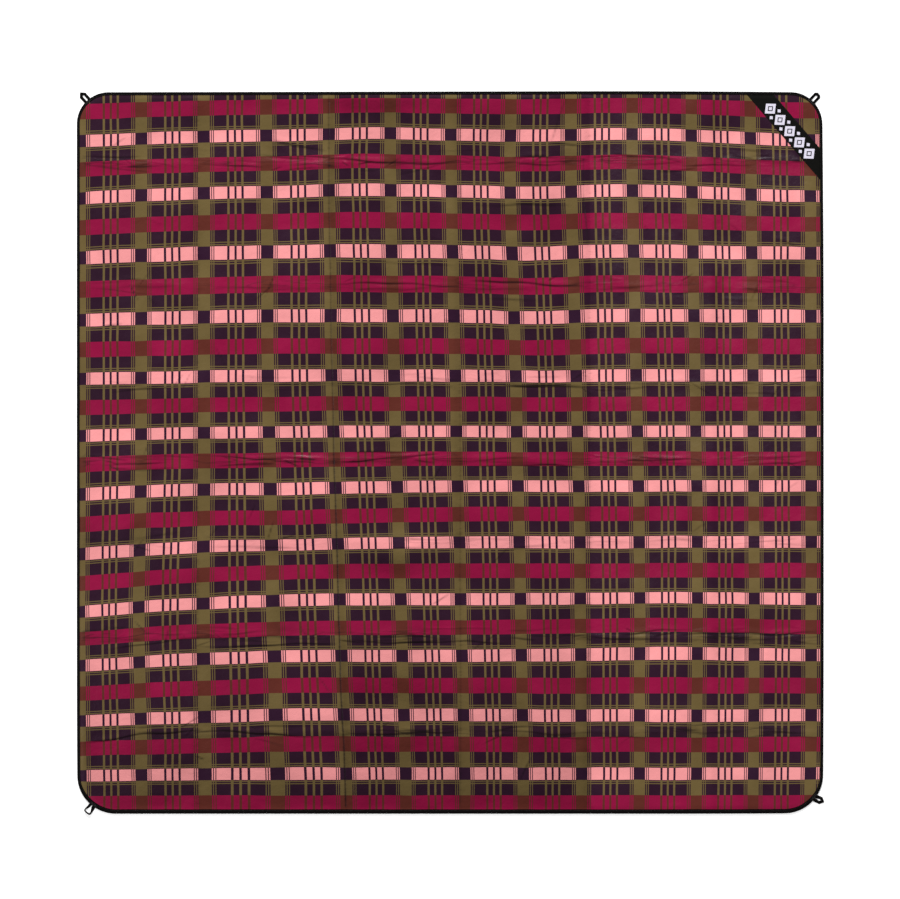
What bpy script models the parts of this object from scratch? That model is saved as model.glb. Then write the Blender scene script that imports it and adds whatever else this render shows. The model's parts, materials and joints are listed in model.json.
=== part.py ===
"""A camp blanket: a printed, foam-backed mat with a taped edge, a label band and four peg loops.

It lies flat on the ground, top side up. X runs across the creases, from the left edge to the right,
Y runs along them, from the near edge to the far one, and Z is up. The origin is the middle of the
mat on the ground. Five creases divide the mat into six panels, which fold up like a fan: odd
panels stay level and even panels turn over. Each panel holds its own stretch of every sheet.
"""

import math

import bmesh
import bpy
from mathutils import Matrix, Vector

# The mat, in metres.
WIDTH = 2.000
LENGTH = 1.935
FAR_RADIUS = 0.085
NEAR_RADIUS = 0.102
ARC_STEPS = 10

# The creases, by their distance from the left edge. The last panel is the short one.
CREASES = (0.324, 0.686, 1.027, 1.374, 1.718)
CREASE_GAP = 0.0006

# The layers, from the ground up.
TAPE = 0.0004
SHEET = 0.0006
FOAM = 0.0026
FOAM_PINCHED = 0.0012
LABEL = 0.0005
CLEAR = 0.0003

# The edge tape, and how far in the sheets leave its fold and drop to their own level.
BINDING = 0.0095
BINDING_ROUND = 0.0005
RIM_END = BINDING + 0.0008
FIELD_START = RIM_END + 0.0045
FOAM_EDGE = 0.0030

# The fan fold turns about lines just above the label and just below the backing.
FOLD_ABOVE = 0.0017
FOLD_BELOW = 0.0009

# The label band crosses the far right corner. Its inner side meets the far and the right edge here.
LABEL_ALONG_FAR = 0.205
LABEL_ALONG_RIGHT = 0.238
LABEL_WIDTH = 0.055

# A peg loop, and where each one leaves the rounded corner, as a bearing from +X.
LOOP_WIDTH = 0.0205
LOOP_EYE = 0.0064
LOOP_REACH = 0.0290
LOOP_ROOT = 0.0030
LOOP_POINT = 0.0012
LOOP_THICKNESS = 0.0014
LOOP_OFFSET = 0.0004
LOOP_BEARINGS = {"far_left": 132.0, "far_right": 47.0, "near_right": -37.0, "near_left": 232.0}

# Colours are linear. Each entry is colour, roughness.
FINISHES = {
    "printed_cover": ((0.105, 0.030, 0.038), 0.55),
    "foam": ((0.72, 0.70, 0.66), 0.90),
    "backing": ((0.018, 0.018, 0.020), 0.45),
    "binding": ((0.009, 0.008, 0.008), 0.70),
    "label": ((0.010, 0.010, 0.009), 0.75),
    "webbing": ((0.007, 0.007, 0.007), 0.80),
}

EDGE_HEIGHT = 2 * TAPE + 2 * SHEET + FOAM_PINCHED + 4 * CLEAR
FIELD_HEIGHT = 2 * SHEET + FOAM + 2 * CLEAR
FAN_TOP = EDGE_HEIGHT + FOLD_ABOVE
FAN_BOTTOM = -FOLD_BELOW
LOOP_AXIS = (EDGE_HEIGHT + CLEAR + LOOP_THICKNESS) / 2


def clear_scene():
    for obj in list(bpy.data.objects):
        bpy.data.objects.remove(obj, do_unlink=True)


def finish_of(name):
    """The Principled material of one kind of cloth."""
    colour, roughness = FINISHES[name]
    material = bpy.data.materials.new(name)
    material.use_nodes = True
    shader = material.node_tree.nodes["Principled BSDF"]
    shader.inputs["Base Color"].default_value = (*colour, 1.0)
    shader.inputs["Roughness"].default_value = roughness
    shader.inputs["Metallic"].default_value = 0.0
    material.diffuse_color = (*colour, 1.0)
    return material


def empty_at(name, place, parent=None):
    """An empty on a joint's axis, which carries the pieces of one moving body."""
    empty = bpy.data.objects.new(name, None)
    empty.empty_display_size = 0.05
    bpy.context.scene.collection.objects.link(empty)
    empty.parent = parent
    empty.location = Vector(place) - (Vector(pivot_of(parent)) if parent else Vector())
    empty["pivot"] = place
    return empty


def pivot_of(carrier):
    return tuple(carrier["pivot"])


def add_piece(name, mesh_builder, finish, carrier):
    """Makes one closed piece from mesh_builder, in world coordinates, and hangs it on its carrier."""
    shape = bmesh.new()
    mesh_builder(shape)
    bmesh.ops.recalc_face_normals(shape, faces=shape.faces)
    mesh = bpy.data.meshes.new(name)
    shape.to_mesh(mesh)
    shape.free()
    mesh.transform(Matrix.Translation(-Vector(pivot_of(carrier))))
    mesh.shade_smooth()
    mesh.set_sharp_from_angle(angle=math.radians(35))
    obj = bpy.data.objects.new(name, mesh)
    obj.data.materials.append(finish_of(finish))
    bpy.context.scene.collection.objects.link(obj)
    obj.parent = carrier
    return obj


def corner_arc(side_x, side_y, inset):
    """Points round one corner of the mat, counter-clockwise, that far in from its edge."""
    radius = FAR_RADIUS if side_y > 0 else NEAR_RADIUS
    centre_x = side_x * (WIDTH / 2 - radius)
    centre_y = side_y * (LENGTH / 2 - radius)
    first = {(1, 1): 0, (-1, 1): 90, (-1, -1): 180, (1, -1): 270}[side_x, side_y]
    turn = [math.radians(first + 90 * step / ARC_STEPS) for step in range(ARC_STEPS + 1)]
    reach = radius - inset
    return [(centre_x + reach * math.cos(a), centre_y + reach * math.sin(a)) for a in turn]


def edge_paths(panel, inset):
    """The panel's taped edges as open paths, counter-clockwise, that far in from the mat's edge."""
    left, right = panel_span(panel)
    near, far = inset - LENGTH / 2, LENGTH / 2 - inset
    if panel == 0:
        return [[(right, far), *corner_arc(-1, 1, inset), *corner_arc(-1, -1, inset), (right, near)]]
    if panel == len(CREASES):
        return [[(left, near), *corner_arc(1, -1, inset), *corner_arc(1, 1, inset), (left, far)]]
    return [[(left, near), (right, near)], [(right, far), (left, far)]]


def panel_span(panel):
    """The panel's left and right side, half a crease gap short of the creases."""
    edges = [0.0, *CREASES, WIDTH]
    left = edges[panel] - WIDTH / 2
    right = edges[panel + 1] - WIDTH / 2
    if panel > 0:
        left += CREASE_GAP / 2
    if panel < len(CREASES):
        right -= CREASE_GAP / 2
    return left, right


def sheet(shape, panel, stations):
    """A panel-shaped sheet. Each station is an inset, a height below and a height above, edge first."""
    rings = []
    for inset, low, high in stations:
        paths = edge_paths(panel, inset)
        rings.append([[[shape.verts.new((x, y, z)) for x, y in path] for path in paths] for z in (low, high)])
    for low_line, high_line in zip(*rings[0]):
        join_lines(shape, low_line, high_line)
    for outer, inner in zip(rings, rings[1:]):
        for side in (0, 1):
            for outer_line, inner_line in zip(outer[side], inner[side]):
                join_lines(shape, outer_line, inner_line)
        for path in range(len(outer[0])):
            for end in (0, -1):
                shape.faces.new([ring[side][path][end] for ring, side in
                                 ((outer, 0), (inner, 0), (inner, 1), (outer, 1))])
    below, above = rings[-1]
    for lines in (below, above):
        shape.faces.new([vertex for line in lines for vertex in line])
    for path in range(len(below)):
        following = (path + 1) % len(below)
        shape.faces.new((below[path][-1], below[following][0], above[following][0], above[path][-1]))


def join_lines(shape, line, beside):
    """Quads between two lines of equal length."""
    for i in range(len(line) - 1):
        shape.faces.new((line[i], line[i + 1], beside[i + 1], beside[i]))


def sweep_edge(shape, panel, which, profile):
    """A closed profile of insets and heights, swept along one taped edge of the panel."""
    lines = []
    for inset, height in profile:
        path = edge_paths(panel, inset)[which]
        lines.append([shape.verts.new((x, y, height)) for x, y in path])
    for i, line in enumerate(lines):
        join_lines(shape, line, lines[(i + 1) % len(lines)])
    for end in (0, -1):
        shape.faces.new([line[end] for line in lines])


def prism(shape, outline, low, high):
    """A flat plate of that outline."""
    rings = [[shape.verts.new((x, y, z)) for x, y in outline] for z in (low, high)]
    for i in range(len(outline)):
        j = (i + 1) % len(outline)
        shape.faces.new((rings[0][i], rings[0][j], rings[1][j], rings[1][i]))
    shape.faces.new(rings[0][::-1])
    shape.faces.new(rings[1])


def sheet_stations(rim_low, rim_thick, field_low, field_thick, edge):
    """A sheet's stations: its rim is held in the tape, and its field is at its own level."""
    rim, field = (rim_low, rim_low + rim_thick), (field_low, field_low + field_thick)
    return [(edge, *rim), (RIM_END, *rim), (FIELD_START, *field)]


def binding_profile():
    """The tape folded over the sheets' edge: a channel open towards the mat, rounded outside."""
    inner_top = EDGE_HEIGHT - TAPE
    return [
        (BINDING, 0.0),
        (BINDING_ROUND, 0.0),
        (0.0, BINDING_ROUND),
        (0.0, EDGE_HEIGHT - BINDING_ROUND),
        (BINDING_ROUND, EDGE_HEIGHT),
        (BINDING, EDGE_HEIGHT),
        (BINDING, inner_top),
        (TAPE, inner_top),
        (TAPE, TAPE),
        (BINDING, TAPE),
    ]


def make_sheets(panel, carrier):
    """The backing, the foam and the printed cover of one panel."""
    number = panel + 1
    held_edge = TAPE + CLEAR
    backing_rim = TAPE + CLEAR
    foam_rim = backing_rim + SHEET + CLEAR
    cover_rim = foam_rim + FOAM_PINCHED + CLEAR
    foam_field = SHEET + CLEAR
    cover_field = foam_field + FOAM + CLEAR
    layers = (
        ("backing", "backing", sheet_stations(backing_rim, SHEET, 0.0, SHEET, held_edge)),
        ("foam", "foam", sheet_stations(foam_rim, FOAM_PINCHED, foam_field, FOAM, FOAM_EDGE)),
        ("cover", "printed_cover", sheet_stations(cover_rim, SHEET, cover_field, SHEET, held_edge)),
    )
    for name, finish, stations in layers:
        add_piece(f"{name}_{number}", lambda shape, s=stations: sheet(shape, panel, s), finish, carrier)


def make_binding(panel, carrier):
    """The panel's stretches of edge tape: one round an end panel, a near and a far one elsewhere."""
    number = panel + 1
    profile = binding_profile()
    end_panel = panel in (0, len(CREASES))
    names = [f"binding_{number}"] if end_panel else [f"binding_{number}_near", f"binding_{number}_far"]
    for which, name in enumerate(names):
        add_piece(name, lambda shape, w=which: sweep_edge(shape, panel, w, profile), "binding", carrier)


def label_outline():
    """The band's outline: two parallel sides, and ends that follow the tape's inner edge."""
    stop_x = WIDTH / 2 - BINDING - CLEAR
    stop_y = LENGTH / 2 - BINDING - CLEAR
    inner_far = Vector((WIDTH / 2 - LABEL_ALONG_FAR, LENGTH / 2))
    inner_right = Vector((WIDTH / 2, LENGTH / 2 - LABEL_ALONG_RIGHT))
    along = (inner_right - inner_far).normalized()
    across = Vector((-along.y, along.x)) * LABEL_WIDTH

    def at_far(point):
        return point + along * (stop_y - point.y) / along.y

    def at_right(point):
        return point + along * (stop_x - point.x) / along.x

    outer_far = inner_far + across
    return [tuple(p) for p in (at_far(inner_far), at_right(inner_far), at_right(outer_far), at_far(outer_far))]


def make_label(carrier):
    low = FIELD_HEIGHT + CLEAR
    add_piece("label_band", lambda shape: prism(shape, label_outline(), low, low + LABEL), "label", carrier)


def loop_shape(shape):
    """A flat webbing loop with a pointed tip and an eye, along +X from its hinge line."""
    half, eye, point = LOOP_WIDTH / 2, LOOP_EYE / 2, LOOP_POINT
    leg = half - eye
    shoulder = LOOP_REACH - (half - point)
    eye_tip = LOOP_REACH - leg
    eye_shoulder = eye_tip - (eye - point / 2)
    outer = [(0.0, -half), (shoulder, -half), (LOOP_REACH, -point)]
    inner = [(LOOP_ROOT, -eye), (eye_shoulder, -eye), (eye_tip, -point / 2)]
    outer += [(x, -y) for x, y in reversed(outer)]
    inner += [(x, -y) for x, y in reversed(inner)]
    low = -LOOP_AXIS
    corners = [[shape.verts.new((x, y, z)) for x, y in ring]
               for ring in (outer, inner) for z in (low, low + LOOP_THICKNESS)]
    outer_low, outer_high, inner_low, inner_high = corners
    for i in range(len(outer)):
        j = (i + 1) % len(outer)
        shape.faces.new((outer_low[i], outer_low[j], outer_high[j], outer_high[i]))
        shape.faces.new((inner_low[j], inner_low[i], inner_high[i], inner_high[j]))
        shape.faces.new((outer_high[i], outer_high[j], inner_high[j], inner_high[i]))
        shape.faces.new((outer_low[j], outer_low[i], inner_low[i], inner_low[j]))


def loop_hinge(corner):
    """Where the loop's hinge line crosses the middle of the loop, and the way that the loop points."""
    side_x = 1 if corner.endswith("right") else -1
    side_y = 1 if corner.startswith("far") else -1
    radius = FAR_RADIUS if side_y > 0 else NEAR_RADIUS
    bearing = math.radians(LOOP_BEARINGS[corner])
    reach = radius + LOOP_OFFSET
    x = side_x * (WIDTH / 2 - radius) + reach * math.cos(bearing)
    y = side_y * (LENGTH / 2 - radius) + reach * math.sin(bearing)
    return (x, y, LOOP_AXIS), bearing


def make_peg_loop(corner, parent):
    """One loop, carried by an empty on its hinge line and turned to its bearing."""
    place, bearing = loop_hinge(corner)
    carrier = empty_at(f"{corner}_loop_hinge", place, parent)
    shape = bmesh.new()
    loop_shape(shape)
    bmesh.ops.recalc_face_normals(shape, faces=shape.faces)
    mesh = bpy.data.meshes.new(f"peg_loop_{corner}")
    shape.to_mesh(mesh)
    shape.free()
    obj = bpy.data.objects.new(mesh.name, mesh)
    mesh.materials.append(finish_of("webbing"))
    bpy.context.scene.collection.objects.link(obj)
    obj.parent = carrier
    obj.rotation_euler.z = bearing


def main():
    clear_scene()
    carriers = [empty_at("panel_1_base", (0.0, 0.0, 0.0))]
    for crease, distance in enumerate(CREASES):
        height = FAN_TOP if crease % 2 == 0 else FAN_BOTTOM
        place = (distance - WIDTH / 2, 0.0, height)
        carriers.append(empty_at(f"crease_{crease + 1}_hinge", place, carriers[-1]))
    for panel, carrier in enumerate(carriers):
        make_sheets(panel, carrier)
        make_binding(panel, carrier)
    make_label(carriers[-1])
    for corner in LOOP_BEARINGS:
        make_peg_loop(corner, carriers[0] if corner.endswith("left") else carriers[-1])


main()
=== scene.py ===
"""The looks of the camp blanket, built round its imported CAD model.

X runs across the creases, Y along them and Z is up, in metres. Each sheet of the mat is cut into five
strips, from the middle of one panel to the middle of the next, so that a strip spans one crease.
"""

import json
import math

import bmesh
import bpy
import numpy as np
from mathutils import Matrix, Vector

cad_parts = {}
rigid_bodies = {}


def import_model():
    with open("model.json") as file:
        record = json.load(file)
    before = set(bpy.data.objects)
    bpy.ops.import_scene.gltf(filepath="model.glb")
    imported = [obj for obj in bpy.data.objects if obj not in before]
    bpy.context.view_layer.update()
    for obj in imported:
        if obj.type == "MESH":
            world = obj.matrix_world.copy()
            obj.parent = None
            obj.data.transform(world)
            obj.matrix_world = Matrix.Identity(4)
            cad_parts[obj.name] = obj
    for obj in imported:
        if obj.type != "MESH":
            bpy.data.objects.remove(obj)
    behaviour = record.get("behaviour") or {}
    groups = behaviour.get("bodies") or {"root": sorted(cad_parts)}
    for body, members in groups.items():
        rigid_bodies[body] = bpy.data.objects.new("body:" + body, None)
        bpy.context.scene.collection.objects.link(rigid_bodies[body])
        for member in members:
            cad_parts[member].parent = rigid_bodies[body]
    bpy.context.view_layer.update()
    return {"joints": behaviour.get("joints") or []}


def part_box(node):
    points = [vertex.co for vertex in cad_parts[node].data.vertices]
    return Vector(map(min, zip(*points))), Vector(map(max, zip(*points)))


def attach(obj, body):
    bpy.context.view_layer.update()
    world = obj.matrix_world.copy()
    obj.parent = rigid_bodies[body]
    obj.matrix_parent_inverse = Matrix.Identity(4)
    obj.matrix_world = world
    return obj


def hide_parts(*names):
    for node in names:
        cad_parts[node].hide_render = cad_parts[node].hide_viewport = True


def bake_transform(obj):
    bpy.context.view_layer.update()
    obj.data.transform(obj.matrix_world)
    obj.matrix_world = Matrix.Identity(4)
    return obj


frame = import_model()

# The plan of the mat.
JOINTS = {joint["name"]: joint for joint in frame["joints"]}
CREASES = [JOINTS[name]["pos_m"][0] for name in ("fan_fold", *(f"crease_{k}" for k in (2, 3, 4, 5)))]
LEFT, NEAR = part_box("binding_1")[0][:2]
RIGHT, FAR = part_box("binding_6")[1][:2]
HALF_WIDTH = (RIGHT - LEFT) / 2
HALF_LENGTH = (FAR - NEAR) / 2
FAR_RADIUS = 0.085
NEAR_RADIUS = 0.102
CORNER_ZONE = 0.25
EDGES = [LEFT, *CREASES, RIGHT]
MIDDLES = [(a + b) / 2 for a, b in zip(EDGES, EDGES[1:])]
CUTS = [LEFT, *MIDDLES[1:-1], RIGHT]
STRIPS = range(len(CREASES))

# Heights and thicknesses.
COVER_FIELD = 0.0041
COVER_RIM = 0.0035
COVER_THICK = 0.0005
COVER_INSET = 0.004
BACKING_RIM = 0.0009
BACKING_THICK = 0.0004
FOAM_INSET = 0.0048
LAYER_GAP = 0.0002
RELIEF_LIMIT = 0.0016
TAPE_TOP = 0.0043
TAPE_THICK = 0.0004
TAPE_WIDTH = 0.0082
TAPE_NEAR_EXTRA = 0.004
TAPE_UNDER = 0.0092
TAPE_FOLD = 0.0021
STITCH_PITCH = 0.0036

# The mesh is fine where the cloth bends or wrinkles.
CREASE_STEP = 0.0015
WRINKLE_STEP = 0.0016
ALONG_STEP = 0.004
ACROSS_STEP = 0.0048
SOFT_STEP = 0.009

# The print: one repeat across and one along, and the bands of half a repeat, from its middle out.
REPEAT_ACROSS = 0.163
REPEAT_ALONG = 0.1555
FIRST_BAND = 0.1721
FIRST_ROW = 0.8502
COLUMN_BANDS = (0.016, 0.0189, 0.0213, 0.0242, 0.0267, 0.0596, 0.0657, 0.0784)
ROW_BANDS = (0.0164, 0.019, 0.0214, 0.0249, 0.0273, 0.0577)

# The label band crosses the far right corner.
LABEL_ALONG_FAR = 0.21
LABEL_ALONG_RIGHT = 0.244
LABEL_WIDTH = 0.055
LABEL_LEVEL = 0.0044
LABEL_THICK = 0.0004
MOTIF_COUNT = 5
MOTIF_PITCH = 0.0395
MOTIF_SHIFT = 0.002

# The peg loops.
LOOP_HALF = 0.01025
LOOP_ROOT = 0.0022
LOOP_REACH = 0.029
WEBBING_THICK = 0.0012


def srgb(*display):
    """An opaque linear colour from its display values, 0 to 255."""
    linear = (c / 255 / 12.92 if c < 11 else ((c / 255 + 0.055) / 1.055) ** 2.4 for c in display)
    return *linear, 1.0


def smooth(t):
    t = np.clip(t, 0.0, 1.0)
    return t * t * (3 - 2 * t)


def hump(value, centre, width):
    return np.exp(-(((value - centre) / width) ** 2))


def humps(table, x, y):
    """The sum of humps, each an amount, a place and half size in x, and the same in y."""
    return sum(row[0] * hump(x, *row[1:3]) * hump(y, *row[3:]) for row in table)


def soft_noise(x, y, cell, seed):
    """Smooth random heights from -1 to 1, one to each cell of that size."""
    lattice = np.random.default_rng(seed).uniform(-1, 1, (64, 64))
    i, j = x / cell + 640.0, y / cell + 640.0
    i0, j0 = np.floor(i).astype(int), np.floor(j).astype(int)
    across, along = smooth(i - i0), smooth(j - j0)
    corner = [[lattice[(i0 + a) % 64, (j0 + b) % 64] for b in (0, 1)] for a in (0, 1)]
    near = corner[0][0] * (1 - across) + corner[1][0] * across
    far = corner[0][1] * (1 - across) + corner[1][1] * across
    return near * (1 - along) + far * along


# ---- the plan


def edge_distance(x, y):
    """How far a point lies in from the mat's rounded outline."""
    radius = np.where(y > 0, FAR_RADIUS, NEAR_RADIUS)
    over_x = np.abs(x) - (HALF_WIDTH - radius)
    over_y = np.abs(y) - (HALF_LENGTH - radius)
    corner = (over_x > 0) & (over_y > 0)
    return np.where(corner, radius - np.hypot(over_x, over_y), radius - np.maximum(over_x, over_y))


def tape_width(y):
    """The tape is a little wider over the near edge."""
    return TAPE_WIDTH + TAPE_NEAR_EXTRA * smooth((-y - 0.87) / 0.09)


def graded(stops, marks, reach, fine, coarse):
    """Positions through the stops, fine within reach of a mark and coarse further away."""
    places = [stops[0]]
    for start, end in zip(stops, stops[1:]):
        at = np.linspace(start, end, 3000)
        nearest = np.min([np.abs(at - mark) for mark in marks], axis=0)
        density = 1 / (fine + (coarse - fine) * smooth(nearest / reach - 1))
        total = np.concatenate([[0], np.cumsum((density[1:] + density[:-1]) / 2 * np.diff(at))])
        count = math.ceil(total[-1])
        places.extend(np.interp(np.linspace(0, total[-1], count + 1)[1:], total, at))
    return np.array(places)


def mat_grid(columns, rows, inset):
    """X and Y of a grid over the mat, drawn in at the rounded corners."""
    radius = np.where(rows > 0, FAR_RADIUS, NEAR_RADIUS)
    beyond = np.maximum(np.abs(rows) - (HALF_LENGTH - radius), 0)
    limit = HALF_WIDTH - radius + np.sqrt(np.maximum((radius - inset) ** 2 - beyond**2, 0))
    middle = HALF_WIDTH - CORNER_ZONE
    squeeze = (limit - middle) / (HALF_WIDTH - inset - middle)
    x, y = np.meshgrid(columns, rows)
    drawn = np.sign(x) * (middle + (np.abs(x) - middle) * squeeze[:, None])
    return np.where(np.abs(x) > middle, drawn, x), y


def sheet_grid(inset, crease_step, wrinkle_step, across_step, along_step):
    """The grid of one sheet, and the columns at which its strips are cut."""
    stops = [LEFT + inset, *CUTS[1:-1], RIGHT - inset]
    marks = [*CREASES, CREASES[1] + 0.012, CREASES[1] + 0.026]
    columns = graded(stops, marks, 0.01, crease_step, across_step)
    rows = graded([NEAR + inset, FAR - inset], [*CROSS_FOLDS, NEAR, FAR], 0.02, wrinkle_step, along_step)
    cut = [int(np.argmin(np.abs(columns - stop))) for stop in stops]
    return *mat_grid(columns, rows, inset), cut


# ---- the wrinkles

# Rows of wrinkles from the mat's other folds: how far along the mat, and how strong.
CROSS_FOLDS = {0.779: 1.0, 0.446: 0.6, 0.183: 0.6, -0.021: 0.9, -0.236: 0.4, -0.492: 1.0, -0.748: 0.8}

# The long wrinkles, in millimetres: both ends, the height, the width of the steep side and the sway.
LONG_WRINKLES = (
    (620, -487, 985, -478, 1.7, 2.2, 4), (240, -486, 600, -498, 1.2, 2, 3),
    (-300, -503, 160, -508, 1.5, 2, 3), (-680, -518, -300, -510, 1.9, 2.1, 2),
    (-930, -522, -620, -492, 1, 2, 3), (-985, -774, -660, -738, 1.7, 2.1, 4),
    (-700, -744, -340, -756, 1.6, 2.1, 3), (-300, -757, 20, -745, 1, 2, 3),
    (100, -742, 440, -752, 0.8, 2, 4), (-640, -8, -330, -18, 1.3, 1.8, 3),
    (-310, -23, -30, -4, 1.6, 1.8, 2), (60, -32, 370, -36, 1.2, 1.8, 3),
    (-680, 776, -500, 765, 1.3, 1.8, 2), (-450, 797, -310, 790, 1.2, 1.8, 2),
    (-310, 786, 30, 775, 1.8, 2.2, 3), (-475, 838, -330, 812, 2, 2.2, 2), (270, 832, 360, 824, 1.8, 2, 2),
    (60, 668, 330, 662, 1.3, 2.2, 3), (-310, 456, 50, 450, 1.3, 2, 3), (50, 460, 360, 450, 1.9, 2.2, 3),
    (620, 768, 820, 775, 1.1, 1.8, 2), (355, 800, 372, 550, 1.2, 2.2, 3), (310, 950, 270, 830, 0.9, 2, 2),
    (-300, 190, 20, 178, 0.9, 1.8, 3), (140, 182, 370, 177, 2.4, 2.4, 2), (-280, 510, 30, 507, 0.8, 1.8, 3),
)

# Where the cover leans out of its mesh: how much to the far side, place, half size, level, half size.
BILLOWS = (
    (-0.34, -0.2, 0.12, 0.948, 0.034), (-0.18, 0.19, 0.13, 0.64, 0.03), (0.06, 0.42, 0.07, 0.62, 0.05),
    (0.22, -0.17, 0.13, -0.225, 0.03), (-0.3, -0.17, 0.12, -0.3, 0.036), (-0.26, -0.17, 0.13, -0.63, 0.045),
    (0.08, 0.85, 0.25, -0.05, 0.24), (0.06, 0.05, 0.22, -0.13, 0.08), (-0.18, -0.15, 0.14, -0.79, 0.036),
    (-0.14, 0.84, 0.1, 0.9, 0.06), (-0.12, 0.2, 0.16, -0.925, 0.03), (-0.1, -0.93, 0.1, -0.71, 0.13),
    (-0.14, -0.34, 0.1, -0.93, 0.05),
)

# Each crease: its height, how wide it is to the left and right, and how deep its sharp line is.
CREASE_RIDGES = (
    (0.0006, 0.012, 0.006, 0.0001), (0.001, 0.016, 0.009, 0.0011), (0.001, 0.014, 0.006, 0.0003),
    (0.0013, 0.012, 0.008, 0.0002), (0.0009, 0.014, 0.008, 0.0001),
)


def wrinkles():
    """The cover's wrinkles: long ones, shorter ones in each row, and creases that lie aslant."""
    dice = np.random.default_rng(17)
    pick = dice.uniform
    lines = []
    for row in LONG_WRINKLES:
        a, b, c, d, height, width, sway = (value / 1000 for value in row)
        lines.append(((a, b), (c, d), height, width, sway))
    for level, strength in CROSS_FOLDS.items():
        for left, right in zip(EDGES, EDGES[1:]):
            for _ in range(4):
                length = pick(0.15, 0.6) * (right - left)
                start = pick(left, right - length)
                height = strength * pick(0.0004, 0.0012)
                y = level + dice.normal(0.0, 0.013)
                tilt = dice.normal(0.0, 0.004)
                ends = (start, y - tilt), (start + length, y + tilt)
                lines.append((*ends, height, pick(0.0016, 0.0026), pick(0.001, 0.004)))
    levels = list(CROSS_FOLDS)
    for number in range(76):
        x, y = pick(LEFT + 0.08, RIGHT - 0.08), pick(NEAR + 0.08, FAR - 0.08)
        if number % 3:
            y = levels[number % len(levels)] + dice.normal(0.0, 0.022)
        turn = math.radians(pick(8, 75) * dice.choice((-1, 1)))
        reach = pick(0.01, 0.04)
        step = reach * math.cos(turn), reach * math.sin(turn)
        ends = (x - step[0], y - step[1]), (x + step[0], y + step[1])
        lines.append((*ends, pick(0.0005, 0.0012), 0.0016, 0.002))
    return lines


def ridge(x, y, start, end, width, sway, seed):
    """A tapered ridge of height 1 along a swaying line, and the painted shadow line at the foot of its
    steep side.
    """
    run = np.array(end) - np.array(start)
    length = np.hypot(*run)
    run = run / length
    t = ((x - start[0]) * run[0] + (y - start[1]) * run[1]) / length
    aside = (y - start[1]) * run[0] - (x - start[0]) * run[1]
    bends = length / 0.12
    aside -= sway * (np.sin(bends * 2.1 * t + seed) + 0.5 * np.sin(bends * 5.3 * t + 2.7 * seed))
    if run[0] < 0:
        aside = -aside
    crest = hump(aside, 0, np.where(aside > 0, 4.0 * width, width))
    dip = 0.3 * hump(aside, -2.6 * width, 1.5 * width)
    taper = np.clip(4 * t * (1 - t), 0, 1) ** 0.8
    uneven = 0.75 + 0.25 * np.sin(bends * 3.4 * t + 1.3 * seed)
    return (crest - dip) * taper * uneven, hump(aside, -1.1 * width, 1.1 * width) * taper * uneven


def over_label(x, y, fade):
    """1 where the label band lies, fading to 0 that far beside it."""
    _, aside = label_axes()
    q = (x - RIGHT + LABEL_ALONG_FAR) * aside.x + (y - FAR) * aside.y
    return smooth((q + fade) / fade) * smooth((LABEL_WIDTH + fade - q) / fade)


def fold_path(x, level):
    """Where a cross fold runs."""
    return level + 0.007 * soft_noise(x, level, 0.16, 13)


def off_crease(number, x, y):
    """How far to the right of a crease a point lies. The second strays far from its hinge line."""
    stray = 0.0016 * soft_noise(y, number, 0.16, 3) + 0.0005 * soft_noise(y, number, 0.03, 4)
    if number == 1:
        stray = stray + 0.047 * np.clip((FAR - y) / (FAR - NEAR), 0, 1) ** 1.8 - 0.011
    return x - CREASES[number] - stray


def relief(x, y):
    """How far the cover stands above its level, how much painted shade darkens the foot of its wrinkles and
    its crease lines, and where it is puckered.
    """
    rise = 0.0007 * soft_noise(x, y, 0.13, 1) + 0.0006 * soft_noise(x, y, 0.06, 2)
    rise += 0.0002 * soft_noise(x, y, 0.028, 11)
    crease_shade, pucker, crumpled = np.zeros((3, *x.shape))
    for number, (start, end, height, width, sway) in enumerate(wrinkles()):
        reach = 12 * width + 2 * sway
        low, high = np.minimum(start, end) - reach, np.maximum(start, end) + reach
        near = (x > low[0]) & (x < high[0]) & (y > low[1]) & (y < high[1])
        crest, foot = ridge(x[near], y[near], start, end, width, sway, number)
        rise[near] += 1.3 * height * crest
        # Painted shadow: a dark line at the foot of each wrinkle's steep side.
        crease_shade[near] += 800 * height * foot
    for level, strength in CROSS_FOLDS.items():
        path = fold_path(x, level)
        patches = np.clip(0.55 + 1.1 * soft_noise(x, level, 0.12, 14), 0, 1)
        pucker += strength * patches * hump(y, path, 0.013)
        rise += 0.0005 * strength * hump(y, path, 0.01)
        crumpled += strength * hump(y, path + 0.01, 0.024)
    crossing = sum(hump(x, place, 0.05) for place in CREASES)
    crumpled *= np.clip(0.1 + 1.3 * soft_noise(x, y, 0.075, 18) + 0.6 * crossing, 0, 1)
    winding = soft_noise(x * 0.4, y, 0.02, 19)
    rise += 0.001 * crumpled * hump(winding, 0, 0.2)
    # Painted shade: a dark line beside each raised crumple.
    crease_shade += 0.25 * crumpled * hump(winding, -0.25, 0.14)
    # The painted crease shade below is stronger towards the near side.
    shade_gain = 0.45 + 0.55 * smooth((0.3 - y) / 0.5)
    for number, (height, left, right, cut) in enumerate(CREASE_RIDGES):
        off = off_crease(number, x, y)
        rise += height * hump(off, 0, np.where(off < 0, left, right)) - cut * hump(off, 0, 0.0016)
        # Painted shade along the sharp line of each crease.
        crease_shade += 900 * cut * shade_gain * hump(off, 0, 0.0021)
        pucker += 0.35 * hump(off, 0, 0.005)
    rise = RELIEF_LIMIT * np.tanh(rise / RELIEF_LIMIT)
    free = 1 - over_label(x, y, 0.012)
    return rise * free, np.clip(crease_shade, 0, 1) * free, np.clip(pucker, 0, 1) * free


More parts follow.
